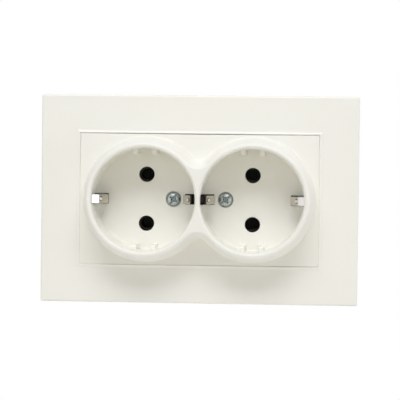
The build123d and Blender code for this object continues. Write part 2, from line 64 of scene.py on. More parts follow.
# %% [markdown]
# ## Writing node trees as sums
# Finishes and fasteners are both networks of nodes, and most of a network is arithmetic. A small class
# that wraps one socket lets that arithmetic be written as a Python expression: each operator adds a
# Math node, and the reflected forms let a plain number stand first. One method adds any other node,
# with its settings first and its sockets after. The alternative, a page of node and link calls, hides
# what is being worked out.

# %% A socket that can be calculated with
class Wire:
    """One output socket of a node tree."""

    def __init__(self, tree, socket):
        self.tree = tree
        self.socket = socket

    def node(self, kind, settings=None, sockets=None, output=0):
        """Adds a node, sets it up, feeds its sockets with values or wires, and returns an output."""
        made = self.tree.nodes.new(kind)
        for name, value in (settings or {}).items():
            setattr(made, name, value)
        for name, value in (sockets or {}).items():
            feed(self.tree, made.inputs[name], value)
        return Wire(self.tree, made.outputs[output])

    def other(self, output):
        """Another output of the same node."""
        return Wire(self.tree, self.socket.node.outputs[output])

    def math(self, operation, *values):
        return self.node("ShaderNodeMath", {"operation": operation}, dict(enumerate(values)))

    def __add__(self, other):
        return self.math("ADD", self, other)

    def __radd__(self, other):
        return self.math("ADD", other, self)

    def __sub__(self, other):
        return self.math("SUBTRACT", self, other)

    def __rsub__(self, other):
        return self.math("SUBTRACT", other, self)

    def __mul__(self, other):
        return self.math("MULTIPLY", self, other)

    def __rmul__(self, other):
        return self.math("MULTIPLY", other, self)

    def __truediv__(self, other):
        return self.math("DIVIDE", self, other)

    def __rtruediv__(self, other):
        return self.math("DIVIDE", other, self)


def feed(tree, socket, value):
    """Gives a socket one link, several links or a fixed value."""
    wires = value if isinstance(value, list) else [value]
    for wire in wires:
        if isinstance(wire, Wire):
            tree.links.new(wire.socket, socket)
        else:
            socket.default_value = wire


print("Node helpers are ready")

# %% [markdown]
# ## Reading a surface
# Every finish starts from the place on the object, so that a pattern stays put when the piece moves.
# Noise on that place gives the slow drift of colour and the fine grain that tell a moulded or rolled
# surface from a flat computer colour. Each finish then feeds colour, roughness and a small bump.

# %% Finish helpers
def new_finish(name):
    """An empty material: itself, its shader node and a wire of the object's own coordinates."""
    material = bpy.data.materials.new(name)
    material.use_nodes = True
    tree = material.node_tree
    coordinates = tree.nodes.new("ShaderNodeTexCoord")
    return material, tree.nodes["Principled BSDF"], Wire(tree, coordinates.outputs["Object"])


def set_shader(shader, **values):
    """Feeds sockets of the surface shader, named with underscores for spaces."""
    for name, value in values.items():
        feed(shader.id_data, shader.inputs[name.replace("_", " ")], value)


def noise(place, scale, detail=2.0):
    """Soft random value from 0 to 1, with about this many features to the metre."""
    sockets = {"Vector": place, "Scale": scale, "Detail": detail}
    return place.node("ShaderNodeTexNoise", {}, sockets, "Fac")


def stretched(place, factors):
    """The place with each axis multiplied, which draws a pattern out along an axis of small factor."""
    return place.node("ShaderNodeMapping", {}, {"Vector": place, "Scale": factors})


def between(share, low, high):
    """Colour that goes from low to high, each a plain colour or a wire, as the share goes from 0 to 1."""
    low, high = (colour if isinstance(colour, Wire) else (*colour, 1) for colour in (low, high))
    return share.node("ShaderNodeMix", {"data_type": "RGBA"}, {"Factor": share, 6: low, 7: high}, 2)


def rise(value, start, end):
    """Share that goes from 0 to 1 as the value goes from start to end."""
    return value.node("ShaderNodeMapRange", {}, {"Value": value, "From Min": start, "From Max": end})


def bump(height, strength, distance):
    """Surface normal disturbed by a height."""
    sockets = {"Strength": strength, "Distance": distance, "Height": height}
    return height.node("ShaderNodeBump", {}, sockets)


print("Finish helpers are ready")

# %% [markdown]
# ## White moulded plastic
# The frame and the centre plate are moulded from a warm white resin. Light that is passed from wall to
# wall in the deep cups turns creamy, because the resin swallows a little more blue at every bounce, so
# the colour itself has to be slightly warm. The polish of the mould leaves a soft gloss with a faint
# orange peel, and the flow of the resin leaves clouds that are hardly there. The walls of the pin holes'
# bores are painted almost black up to their edge: painted shade for the deep shadow in the holes. How
# far a place lies from the nearest bore's axis finds those walls.

# %% White plastic
CUP_X = 20.5 * MM
PIN_Z = 9.5 * MM
BORE_RADIUS = 2.95 * MM
CLOUD_SCALE = 55.0
PEEL_SCALE = 1800.0


def make_white_plastic():
    material, shader, place = new_finish("white_plastic")
    clouds = noise(place, CLOUD_SCALE)
    peel = noise(place, PEEL_SCALE, 1.0)
    white = between(clouds, (0.942, 0.928, 0.866), (0.952, 0.940, 0.880))
    across = place.node("ShaderNodeSeparateXYZ", {}, {0: place})
    up = across.other("Z")
    side = across.math("ABSOLUTE", across) - CUP_X
    rise_from_axis = up.math("ABSOLUTE", up) - PIN_Z
    off_axis = side * side + rise_from_axis * rise_from_axis
    # Painted shade: the walls of the bores are painted almost black.
    bore_shade = off_axis.math("LESS_THAN", off_axis, BORE_RADIUS * BORE_RADIUS)
    set_shader(
        shader,
        Base_Color=between(bore_shade, white, (0.018, 0.016, 0.013)),
        Roughness=0.28 + 0.08 * clouds,
        Normal=bump(peel, 0.05, 0.1 * MM),
        IOR=1.5,
    )
    return material


white_plastic = make_white_plastic()
print("Made", white_plastic.name)

# %% [markdown]
# ## Dark moulded plastic
# The base and the plate over the contacts are pressed from a hard, heat-proof compound. It is dark grey,
# with a dull skin in which the filler shows as a fine grain.

# %% Dark plastic
GRAIN_SCALE = 3000.0
FLOW_SCALE = 120.0


def make_base_plastic():
    material, shader, place = new_finish("base_plastic")
    grain = noise(place, GRAIN_SCALE)
    flow = noise(place, FLOW_SCALE)
    set_shader(
        shader,
        Base_Color=between(flow, (0.15, 0.142, 0.128), (0.20, 0.19, 0.172)),
        Roughness=0.46 + 0.18 * grain,
        Normal=bump(grain, 0.15, 0.1 * MM),
    )
    return material


base_plastic = make_base_plastic()
print("Made", base_plastic.name)

# %% [markdown]
# ## Rolled and plated metal
# Sheet metal carries the fine lines of the rolls, and plated screws have soft stains where the bath
# dried. One helper serves all the metals: a noise that is drawn out along the rolling direction feeds
# roughness and bump, and a second, coarser one drifts between a dark and a light tone.

# %% Metals
ALONG_X = (0.1, 1.0, 1.0)
ALONG_Z = (1.0, 1.0, 0.1)
EVEN = (1.0, 1.0, 1.0)
ROLL_SCALE = 900.0
STAIN_SCALE = 260.0


def rolled_skin(place, lines):
    """The lines of the rolls and the stains, both from 0 to 1, and the relief of the lines."""
    rolled = noise(stretched(place, lines), ROLL_SCALE, 3.0)
    return rolled, noise(place, STAIN_SCALE), bump(rolled, 0.10, 0.05 * MM)


def make_metal(name, dark, light, roughness, lines):
    material, shader, place = new_finish(name)
    rolled, stains, relief = rolled_skin(place, lines)
    smooth, rough = roughness
    set_shader(
        shader,
        Base_Color=between(stains, dark, light),
        Metallic=1.0,
        Roughness=smooth + (rough - smooth) * rolled,
        Normal=relief,
    )
    return material


finishes = {"white_plastic": white_plastic, "base_plastic": base_plastic}
for name, dark, light, roughness, lines in [
    ("plate_steel", (0.36, 0.37, 0.39), (0.50, 0.51, 0.53), (0.28, 0.46), ALONG_Z),
    ("spring_steel", (0.075, 0.073, 0.070), (0.115, 0.112, 0.108), (0.28, 0.42), ALONG_X),
    ("rivet_steel", (0.026, 0.025, 0.023), (0.050, 0.048, 0.044), (0.32, 0.46), EVEN),
    ("claw_steel", (0.36, 0.35, 0.31), (0.50, 0.48, 0.43), (0.26, 0.42), EVEN),
]:
    finishes[name] = make_metal(name, dark, light, roughness, lines)
print("Made", len(finishes), "finishes")

# %% [markdown]
# ## Contact brass
# The brass rails are bare at the terminals, where the screws bite into them. In the chambers they are
# painted almost black: painted shade for the dark chambers, so hardly anything of them shows through the
# pin holes. How far a place lies above or below the middle tells the two apart.

# %% Contact brass
CHAMBER_END = 14 * MM
CHAMBER_FADE = 3 * MM


def make_contact_brass():
    material, shader, place = new_finish("contact_brass")
    up = place.node("ShaderNodeSeparateXYZ", {}, {0: place}, "Z")
    # Painted shade: in the chambers the brass is painted almost black.
    outside_chambers = rise(up.math("ABSOLUTE", up), CHAMBER_END, CHAMBER_END + CHAMBER_FADE)
    rolled, stains, relief = rolled_skin(place, ALONG_X)
    chamber_shade = between(stains, (0.075, 0.066, 0.052), (0.105, 0.093, 0.075))
    bright = between(stains, (0.60, 0.43, 0.17), (0.76, 0.57, 0.26))
    set_shader(
        shader,
        Base_Color=between(outside_chambers, chamber_shade, bright),
        Metallic=1.0,
        Roughness=0.50 - 0.18 * outside_chambers + 0.08 * rolled,
        Normal=relief,
    )
    return material


finishes["contact_brass"] = make_contact_brass()
print("Made", finishes["contact_brass"].name)

# %% [markdown]
# ## Earth strip
# The earth strip is plated spring metal. Its faces that look into a cup keep the plated tone, a little
# worn by the plugs that rub them. Its back and the parts behind the cup floors are painted almost black:
# painted shade, for the shadow behind the slots. The outer clips' lips that lead plugs in and the
# dimples'
# crowns are painted near white: a painted highlight, partly the polish that plugs leave. The reach in
# front of the wall and a mark on the mesh, which is set further down from the way each face looks, mix
# those three tones. The mark is 0 on the back, 1 on a face that plugs pass and 2 on a crown. Painting the
# tones by hand would need a map.

# %% Earth strip
CUP_FLOOR_REACH = 5.5 * MM
SHADE_FADE = 4 * MM
KNEE_REACH = 15.5 * MM
KNEE_FADE = 0.2 * MM
OUTER_CLIPS = 30 * MM
PAINTED_LIGHT_MARK = "painted_light"


def make_earth_strip():
    material, shader, place = new_finish("earth_strip")
    across = place.node("ShaderNodeSeparateXYZ", {}, {0: place})
    reach = 0 - across.other("Y")
    outer = across.math("GREATER_THAN", across.math("ABSOLUTE", across), OUTER_CLIPS)
    mark = place.node("ShaderNodeAttribute", {"attribute_name": PAINTED_LIGHT_MARK}, {}, "Fac")
    # Painted shade: behind the cup floors and on faces that look away from the cup the strip is almost
    # black.
    painted_light = rise(reach, CUP_FLOOR_REACH, CUP_FLOOR_REACH + SHADE_FADE) * rise(mark, 0.0, 1.0)
    # Painted highlight: the outer clips' lips and the dimples' crowns are near white, partly the plugs'
    # polish.
    lip_highlight = rise(reach, KNEE_REACH - KNEE_FADE, KNEE_REACH + KNEE_FADE) * outer
    bright = lip_highlight.math("MAXIMUM", lip_highlight, rise(mark, 1.0, 2.0))
    rolled, stains, relief = rolled_skin(place, ALONG_X)
    shade_tone = between(stains, (0.050, 0.045, 0.036), (0.090, 0.082, 0.068))
    plated_tone = between(stains, (0.54, 0.50, 0.44), (0.74, 0.70, 0.63))
    tone = between(bright, between(painted_light, shade_tone, plated_tone), (0.86, 0.83, 0.81))
    set_shader(
        shader,
        Base_Color=tone,
        Metallic=1.0,
        Roughness=0.42 - 0.16 * painted_light + 0.10 * rolled,
        Normal=relief,
    )
    return material


finishes["earth_strip"] = make_earth_strip()
print("Made", finishes["earth_strip"].name)

# %% [markdown]
# ## Zinc on the screws
# The screws are zinc plated, which leaves a cold, slightly blue shine. The walls of the driver's recess
# are painted far darker than the head, and its floor a little darker: painted shade for the recess. The
# recess is marked on the mesh when it is cut, further down, and the finish reads that mark.

# %% Screw zinc
RECESS_SHADE_MARK = "recess_shade"
BATH_SCALE = 420.0
ZINC_GRAIN_SCALE = 2600.0


def make_screw_zinc():
    material, shader, place = new_finish("screw_steel")
    # Painted shade: the recess walls are almost black, its floor halfway to the head's tone.
    recess_shade = place.node("ShaderNodeAttribute", {"attribute_name": RECESS_SHADE_MARK}, {}, "Fac")
    stains = noise(place, BATH_SCALE)
    grain = noise(place, ZINC_GRAIN_SCALE)
    plated = between(stains, (0.33, 0.38, 0.38), (0.50, 0.56, 0.555))
    set_shader(
        shader,
        Base_Color=between(recess_shade, plated, (0.016, 0.021, 0.024)),
        Metallic=1.0,
        Roughness=0.20 + 0.12 * grain + 0.15 * recess_shade,
        Normal=bump(grain, 0.06, 0.05 * MM),
    )
    return material


finishes["screw_steel"] = make_screw_zinc()
print("Made", finishes["screw_steel"].name)

# %% [markdown]
# ## Edges that catch the light
# No real edge is razor sharp: moulded corners are rounded by the tool, and stamped ones by barrelling.
# The solids arrive as loose triangles, so a copy is merged first, and flat triangles are dissolved into
# whole faces. A bevel then rounds every edge that turns sharply. Rounding only the shading would be
# cheaper, but the outline and the mesh itself would stay sharp.

# %% Rounding helpers
WELD = 0.001 * MM
FLAT_ANGLE = radians(0.08)
CREASE_ANGLE = radians(28)
SHARP_ANGLE = radians(38)


def merged(node):
    """A closed copy of a node: corners joined, and flat triangles dissolved into whole faces."""
    shape = bmesh.new()
    shape.from_mesh(nodes[node].data)
    bmesh.ops.remove_doubles(shape, verts=shape.verts, dist=WELD)
    bmesh.ops.dissolve_limit(shape, angle_limit=FLAT_ANGLE, verts=shape.verts, edges=shape.edges)
    return shape


def creases(shape, low=-1.0, high=1.0, hollow=None):
    """The edges that turn sharply and lie between two reaches in front of the wall."""
    found = []
    for edge in shape.edges:
        if edge.is_manifold and edge.calc_face_angle() > CREASE_ANGLE:
            fits = all(low < -corner.co.y < high for corner in edge.verts)
            if fits and hollow in (None, not edge.is_convex):
                found.append(edge)
    return found


def round_edges(shape, edges, width, segments):
    """Rounds these edges, and less where a neighbour leaves no room."""
    settings = {"profile": 0.5, "affect": "EDGES", "clamp_overlap": True}
    bmesh.ops.bevel(shape, geom=edges, offset=width, segments=segments, **settings)


def shade(mesh):
    """Shades a mesh smoothly, apart from its sharp edges."""
    mesh.shade_smooth()
    mesh.set_sharp_from_angle(angle=SHARP_ANGLE)
    return mesh


def smooth_mesh(shape, name):
    """Turns the shape into a shaded mesh and frees it."""
    mesh = bpy.data.meshes.new(name)
    shape.to_mesh(mesh)
    shape.free()
    return shade(mesh)


def stand_in(mesh, node):
    """Puts a dressed mesh in the place of a node, on its body and with its finish."""
    piece = bpy.data.objects.new(mesh.name, mesh)
    bpy.context.scene.collection.objects.link(piece)
    mesh.materials.clear()
    mesh.materials.append(finishes[slot_of[node]])
    weights = piece.modifiers.new("even_shading", "WEIGHTED_NORMAL")
    weights.keep_sharp = True
    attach(piece, body_of[node])
    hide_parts(node)
    return piece


print("Rounding helpers are ready")

# %% [markdown]
# ## Centre plate and cups
# This moulding is what the eye goes to: a shallow plate with a ring whose outer wall leans in, and two
# cups with a broad soft lip. The solid has plain chamfers at the lips and along the rim. Each chamfer
# gets a large round at its foot and a smaller one at the narrow land on top, which together read as one
# moulded roll. Hollow corners get a cove, as the mould's rounded cutter leaves it: a wide one where the
# ring stands on the plate, a smaller one round the cup floors. The plate's own edge hardly shows in the
# photo, so its chamfer is made shallower first. The guide ribs are soft, and the other edges get a
# hairline round.

# %% Centre plate
RIM_REACH = -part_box("front_cover")[0].y
PLATE_REACH = 9.8 * MM
PLATE_CHAMFER = 0.4 * MM
SOFT_CHAMFER = 0.1 * MM
RIB_REACH = 16.3 * MM
RIB_CREST = 17.2 * MM
CUP_RADIUS = 19.5 * MM
LIP_DEPTH = 1.0 * MM
LIP_ROUND = 0.55 * MM
LAND_ROUND = 0.17 * MM
RING_COVE = 0.5 * MM
PLATE_ROUND = 0.15 * MM
PLATE_BAND = 0.2 * MM
RIB_ROUND = 0.5 * MM
FLOOR_COVE = 0.4 * MM
HAIRLINE = 0.06 * MM
CLOSE = 0.05 * MM


def make_front_cover():
    shape = merged("front_cover")
    for corner in shape.verts:
        if abs(-corner.co.y - PLATE_REACH + PLATE_CHAMFER) < CLOSE:
            corner.co.y = SOFT_CHAMFER - PLATE_REACH
    round_edges(shape, creases(shape, RIM_REACH - LIP_DEPTH, RIM_REACH - CLOSE), LIP_ROUND, 4)
    round_edges(shape, creases(shape, RIM_REACH - CLOSE, RIM_REACH + CLOSE), LAND_ROUND, 3)
    on_plate = (PLATE_REACH - CLOSE, PLATE_REACH + CLOSE)
    round_edges(shape, creases(shape, *on_plate, hollow=True), RING_COVE, 4)
    round_edges(shape, creases(shape, *on_plate, hollow=False), PLATE_ROUND, 2)
    ribs = [
        edge
        for edge in creases(shape, CUP_FLOOR_REACH + CLOSE, RIB_REACH + CLOSE, hollow=False)
        if all(RIB_CREST - CLOSE < abs(corner.co.z) < CUP_RADIUS for corner in edge.verts)
    ]
    round_edges(shape, ribs, RIB_ROUND, 3)
    floor_corner = creases(shape, CUP_FLOOR_REACH - CLOSE, CUP_FLOOR_REACH + CLOSE, hollow=True)
    round_edges(shape, floor_corner, FLOOR_COVE, 3)
    plate_edge = set(creases(shape, PLATE_REACH - PLATE_BAND, PLATE_REACH - CLOSE))
    round_edges(shape, [edge for edge in creases(shape) if edge not in plate_edge], HAIRLINE, 2)
    return smooth_mesh(shape, "front_cover_moulding")


cover = stand_in(make_front_cover(), "front_cover")
print(cover.name, "has", len(cover.data.polygons), "faces")

# %% [markdown]
# ## The other mouldings and pressings
# The base, the plate over the contacts, the steel plate, rails, springs, saddles, claws, nuts and flush
# rivets only need their edges broken. How much depends on how the piece is made: a moulding has a soft
# edge, a stamped strip a tight one, and hardened spring strip is tighter still. The frame and the earth
# clips follow in cells of their own.

# %% Edges of the other pieces
EDGE_WIDTHS = {
    "white_plastic": 0.15 * MM,
    "base_plastic": 0.20 * MM,
    "plate_steel": 0.12 * MM,
    "earth_strip": 0.10 * MM,
    "contact_brass": 0.10 * MM,
    "spring_steel": 0.06 * MM,
    "rivet_steel": 0.12 * MM,
    "screw_steel": 0.12 * MM,
    "claw_steel": 0.12 * MM,
}
FASTENERS = {"cover_screws", "terminal_screws", "left_claw_screw", "right_claw_screw", "base_rivets"}
DIMPLES = {"earth_bridge": 37.2 * MM, "centre_earth_clip": 3.8 * MM}


def softened(node):
    """A copy of a node with its edges broken."""
    shape = merged(node)
    round_edges(shape, creases(shape), EDGE_WIDTHS[slot_of[node]], 2)
    return shape


for node in sorted(set(nodes) - FASTENERS - {"front_cover", "frame"} - set(DIMPLES)):
    piece = stand_in(smooth_mesh(softened(node), node + "_finished"), node)
    print(piece.name, "has", len(piece.data.polygons), "faces")

# %% [markdown]
# ## The frame's window
# The centre plate sits tight in the frame's window: in the photo the line round it nearly vanishes at the
# sides, and it is dark along the top, where the plate's edge bows down, and along the bottom. The solids
# keep a hairline of clearance, which would show as a black line all round. So the window's side and top
# walls are moved in until they touch the plate. The raised edge of the window is a soft roll, so its
# crest gets a larger round than the frame's other edges.

# %% Frame
WINDOW_CLEARANCE = 0.05 * MM
CREST_REACH = -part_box("frame")[0].y
CREST_ROUND = 0.5 * MM


def close_window(shape):
    """Moves the side walls and the top wall of the window in to the plate."""
    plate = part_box("front_cover")[1]
    half_width, half_height = plate.x + WINDOW_CLEARANCE, plate.z + WINDOW_CLEARANCE
    for corner in shape.verts:
        across, up = abs(corner.co.x), abs(corner.co.z)
        if across < half_width + WELD and up < half_height + WELD:
            if across > half_width - WELD:
                corner.co.x -= copysign(WINDOW_CLEARANCE, corner.co.x)
            if corner.co.z > half_height - WELD:
                corner.co.z -= WINDOW_CLEARANCE


def make_frame():
    shape = merged("frame")
    close_window(shape)
    round_edges(shape, creases(shape, CREST_REACH - CLOSE, CREST_REACH + CLOSE), CREST_ROUND, 4)
    round_edges(shape, creases(shape), EDGE_WIDTHS[slot_of["frame"]], 2)
    return smooth_mesh(shape, "frame_finished")


surround = stand_in(make_frame(), "frame")
print(surround.name, "has", len(surround.data.polygons), "faces")

# %% [markdown]
# ## Earth clips
# The strip and the spring that make the four clips get the same broken edges. Each clip also has a small
# dimple pressed into its leaf, which bears on the plug's earth contact. A ray from the room finds the
# leaf and its slope, and a flattened ball is set half into the sheet there. A bump in the finish would do
# from afar, but it would not change the mesh itself. A dimple's crown gets a painted highlight, partly
# the polish that plugs leave, and its foot gets painted shade, so the mark that the finish reads goes
# from little to full between them.

# %% Earth clips
DIMPLE_RADIUS = 0.95 * MM
DIMPLE_HEIGHT = 0.42 * MM
FOOT_SHADE_MARK = 0.15
CROWN_HIGHLIGHT_MARK = 2.0
CROWN_SLOPE = 0.93
FULL_LIGHT_FACING = 0.3
BALL = {"u_segments": 24, "v_segments": 16, "radius": 1.0}


def look_into_cup(face):
    """How far a face of a clip looks into its cup, from 0 to 1."""
    middle = face.calc_center_median().x
    outward = face.normal.x * copysign(1, middle)
    to_cup = -outward if abs(middle) > OUTER_CLIPS else outward
    return min(max(to_cup / FULL_LIGHT_FACING, 0.0), 1.0)


def add_dimples(shape, x):
    """Marks each face for the painted light of the finish, and sets a dimple on each leaf, this far left
    and right of the middle.
    """
    marks = shape.faces.layers.float.new(PAINTED_LIGHT_MARK)
    # Faces that look away from the cup get painted shade, faces that look into it the plated tone.
    for face in shape.faces:
        face[marks] = look_into_cup(face)
    surface = BVHTree.FromBMesh(shape)
    for side in (-1, 1):
        spot, slope, _, _ = surface.ray_cast(Vector((side * x, -1, 0)), Vector((0, 1, 0)))
        turn = slope.to_track_quat("Z", "Y").to_matrix().to_4x4()
        flat = Matrix.Diagonal((DIMPLE_RADIUS, DIMPLE_RADIUS, DIMPLE_HEIGHT, 1))
        place = Matrix.Translation(spot) @ turn @ flat
        ball = bmesh.ops.create_uvsphere(shape, matrix=place, **BALL)
        # The dimple's crown gets a painted highlight, its foot painted shade.
        for face in {face for corner in ball["verts"] for face in corner.link_faces}:
            face.normal_update()
            face[marks] = CROWN_HIGHLIGHT_MARK if face.normal.dot(slope) > CROWN_SLOPE else FOOT_SHADE_MARK


for node, x in DIMPLES.items():
    shape = softened(node)
    add_dimples(shape, x)
    piece = stand_in(smooth_mesh(shape, node + "_finished"), node)
    print(piece.name, "has", len(piece.data.polygons), "faces")

# %% [markdown]
# ## Screws and rivets
# All the fasteners are turned parts: a profile swept round an axis. A grid of points can be wrapped
# round that axis by arithmetic alone, and a thread is then only a radius that rises and falls with the
# height less the angle. One tree of Geometry Nodes makes a whole screw from named sizes and sets a copy
# on each point it is given, so seven screws need no modelling by hand. The same could be done by
# sweeping a tooth along a spiral, but that leaves a seam between tooth and core.

# %% Trees for turned parts
SIDES = 48
HEAD_ROWS = 14
ROWS_PER_TURN = 10
THREAD_FLAT = 1 / 6
TIP_SHARE = 0.75
END_GAP = 0.005 * MM


def new_tree(name, sizes):
    """A geometry tree with these number inputs, and its inputs as wires by name."""
    tree = bpy.data.node_groups.new(name, "GeometryNodeTree")
    tree.is_modifier = True
    tree.interface.new_socket("Geometry", in_out="OUTPUT", socket_type="NodeSocketGeometry")
    tree.interface.new_socket("Places", in_out="INPUT", socket_type="NodeSocketGeometry")
    for label in sizes:
        tree.interface.new_socket(label, in_out="INPUT", socket_type="NodeSocketFloat")
    tree.interface.new_socket("Finish", in_out="INPUT", socket_type="NodeSocketMaterial")
    start = tree.nodes.new("NodeGroupInput")
    return tree, {socket.name: Wire(tree, socket) for socket in start.outputs if socket.name}


def wrapped(start, rows, profile):
    """A closed surface of revolution. The profile gives radius and height from shares along and round."""
    sizes = {"Size X": 1.0, "Size Y": 1.0, "Vertices X": SIDES + 1, "Vertices Y": rows}
    grid = start.node("GeometryNodeMeshGrid", {}, sizes)
    place = start.node("GeometryNodeInputPosition")
    split = place.node("ShaderNodeSeparateXYZ", {}, {0: place})
    around = split + 0.5
    along = split.other("Y") + 0.5
    radius, height = profile(along, around)
    angle = around * (2 * pi)
    out = radius * angle.math("COSINE", angle)
    over = radius * angle.math("SINE", angle)
    corner = start.node("ShaderNodeCombineXYZ", {}, {"X": out, "Y": over, "Z": height})
    moved = grid.node("GeometryNodeSetPosition", {}, {"Geometry": grid, "Position": corner})
    return moved.node("GeometryNodeMergeByDistance", {}, {"Geometry": moved, "Distance": WELD})


def turned_head(radius, height, squareness):
    """A head on the plane z = 0: a rounded form between a dome and a drum, as squareness grows."""
    first = 1 / (HEAD_ROWS - 1)

    def profile(along, around):
        share = along.math("MAXIMUM", (along - first) / (1 - first), 0.0)
        angle = share * (pi / 2)
        power = 2 / squareness
        open_end = along.math("GREATER_THAN", along, first / 2)
        side = angle.math("MAXIMUM", angle.math("COSINE", angle), 0.0)
        out = radius * side.math("POWER", side, power) * open_end
        up = angle.math("SINE", angle)
        return out, height * up.math("POWER", up, power)

    return wrapped(radius, HEAD_ROWS, profile)


def shank(crest, root, pitch, length, rows):
    """A round shank below the plane z = 0, with a thread wherever the crest stands above the root."""

    def profile(along, around):
        height = along * length
        turn = height / pitch - around
        wave = 2 * turn.math("PINGPONG", turn, 0.5)
        flank = (wave - THREAD_FLAT) / (1 - 2 * THREAD_FLAT)
        tooth = wave.node("ShaderNodeClamp", {}, {"Value": flank})
        end = END_GAP / length
        ends = along.math("GREATER_THAN", along, end) * along.math("LESS_THAN", along, 1 - end)
        point = root.math("MINIMUM", root + (crest - root) * tooth, root * TIP_SHARE + height)
        return point * ends, height - length

    return wrapped(crest, rows, profile)


def set_on_places(size, shape):
    """Sets the shape on each place, turned as the place says, and makes one mesh of them."""
    turn = shape.node("GeometryNodeInputNamedAttribute", {"data_type": "FLOAT_VECTOR"}, {"Name": "turn"})
    turn = turn.node("FunctionNodeEulerToRotation", {}, {0: turn})
    sockets = {"Points": size["Places"], "Instance": shape, "Rotation": turn}
    copies = shape.node("GeometryNodeInstanceOnPoints", {}, sockets)
    real = copies.node("GeometryNodeRealizeInstances", {}, {0: copies})
    done = real.node("GeometryNodeSetMaterial", {}, {"Geometry": real, "Material": size["Finish"]})
    end = done.tree.nodes.new("NodeGroupOutput")
    done.tree.links.new(done.socket, end.inputs[0])


print("Tree helpers are ready")

# %% [markdown]
# ## The screw tree
# A screw is a head, a driver's recess and a threaded shank. The recess is cut by a Mesh Boolean, as a
# punch would press it: a slot right across, and on the cover screws a cross with a tapered middle as
# well, so that either driver fits.

# %% Screw tree
SCREW_SIZES = [
    "Head Radius", "Head Height", "Squareness", "Crest", "Root", "Pitch", "Length", "Rows",
    "Slot Width", "Slot Depth", "Cross Length", "Cross Width", "Cross Depth",
]
CONE_SIDES = 24
CONE_TOP = 0.42
CONE_FOOT = 0.16
CONE_DEPTH = 1.6
CONE_MIDDLE = 0.9
RECESS_FLOOR_SHADE = 0.5


def block(start, length, width, depth, top):
    """A punch that reaches this depth below the top."""
    size = start.node("ShaderNodeCombineXYZ", {}, {"X": length, "Y": width, "Z": 2 * depth})
    cube = start.node("GeometryNodeMeshCube", {}, {"Size": size})
    place = start.node("ShaderNodeCombineXYZ", {}, {"Z": top})
    return cube.node("GeometryNodeTransform", {}, {"Geometry": cube, "Translation": place})


def cut(body, punches):
    """The body less the punches, which mark what they cut for painted shade: fully on their sides, less
    on their ends.
    """
    normal = body.node("GeometryNodeInputNormal")
    upright = normal.node("ShaderNodeSeparateXYZ", {}, {0: normal}, "Z")
    # The mark is painted shade: full on the recess walls, half on its floor.
    mark = 1 - (1 - RECESS_FLOOR_SHADE) * upright.math("ABSOLUTE", upright)
    marks = []
    for punch in punches:
        settings = {"data_type": "FLOAT", "domain": "FACE"}
        sockets = {"Geometry": punch, "Name": RECESS_SHADE_MARK, "Value": mark}
        marks.append(punch.node("GeometryNodeStoreNamedAttribute", settings, sockets))
    settings = {"operation": "DIFFERENCE", "solver": "EXACT"}
    return body.node("GeometryNodeMeshBoolean", settings, {"Mesh 1": body, "Mesh 2": marks})


def make_screw_tree():
    tree, size = new_tree("turned_screw", SCREW_SIZES)
    top = size["Head Height"]
    head = turned_head(size["Head Radius"], top, size["Squareness"])
    slot = block(top, 3 * size["Head Radius"], size["Slot Width"], size["Slot Depth"], top)
    slotted = cut(head, [slot])
    length, width, depth = size["Cross Length"], size["Cross Width"], size["Cross Depth"]
    taper = {"Radius Top": CONE_TOP * length, "Radius Bottom": CONE_FOOT * length}
    sizes = {"Vertices": CONE_SIDES, "Depth": CONE_DEPTH * depth, **taper}
    cone = top.node("GeometryNodeMeshCone", {}, sizes)
    place = top.node("ShaderNodeCombineXYZ", {}, {"Z": top - CONE_MIDDLE * depth})
    cone = cone.node("GeometryNodeTransform", {}, {"Geometry": cone, "Translation": place})
    arms = [block(top, length, width, depth, top), block(top, width, length, depth, top)]
    crossed = cut(slotted, arms + [cone])
    has_cross = top.math("GREATER_THAN", length, 0.0)
    choice = {"Switch": has_cross, "False": slotted, "True": crossed}
    head = top.node("GeometryNodeSwitch", {"input_type": "GEOMETRY"}, choice)
    thread = shank(size["Crest"], size["Root"], size["Pitch"], size["Length"], size["Rows"])
    whole = head.node("GeometryNodeJoinGeometry", {}, {"Geometry": [head, thread]})
    set_on_places(size, whole)
    return tree


screw_tree = make_screw_tree()
print("The screw tree has", len(screw_tree.nodes), "nodes")

# %% [markdown]
# ## The rivet tree
# A rivet has a set head, a plain shank and a tail that is spread over at the far end. Head and tail are
# the same turned form, so the tail is the head's copy, turned over and moved down the shank.

# %% Rivet tree
RIVET_SIZES = ["Head Radius", "Head Height", "Squareness", "Radius", "Length", "Rows"]


def make_rivet_tree():
    tree, size = new_tree("turned_rivet", RIVET_SIZES)
    head = turned_head(size["Head Radius"], size["Head Height"], size["Squareness"])
    place = head.node("ShaderNodeCombineXYZ", {}, {"Z": 0.0 - size["Length"]})
    over = {"Geometry": head, "Translation": place, "Rotation": (pi, 0, 0)}
    tail = head.node("GeometryNodeTransform", {}, over)
    middle = shank(size["Radius"], size["Radius"], size["Length"], size["Length"], size["Rows"])
    whole = head.node("GeometryNodeJoinGeometry", {}, {"Geometry": [head, middle, tail]})
    set_on_places(size, whole)
    return tree


rivet_tree = make_rivet_tree()
print("The rivet tree has", len(rivet_tree.nodes), "nodes")

# %% [markdown]
# ## Setting the fasteners out
# The solids say where each fastener sits: the box of a node gives its head's top, its tip and its axis.
# A place is a point at the seat under the head, and its turn lays the screw's axis along the wall's
# normal or upright. One function hands the places and sizes to a tree and takes a plain mesh back. The
# small screws all share one thread.

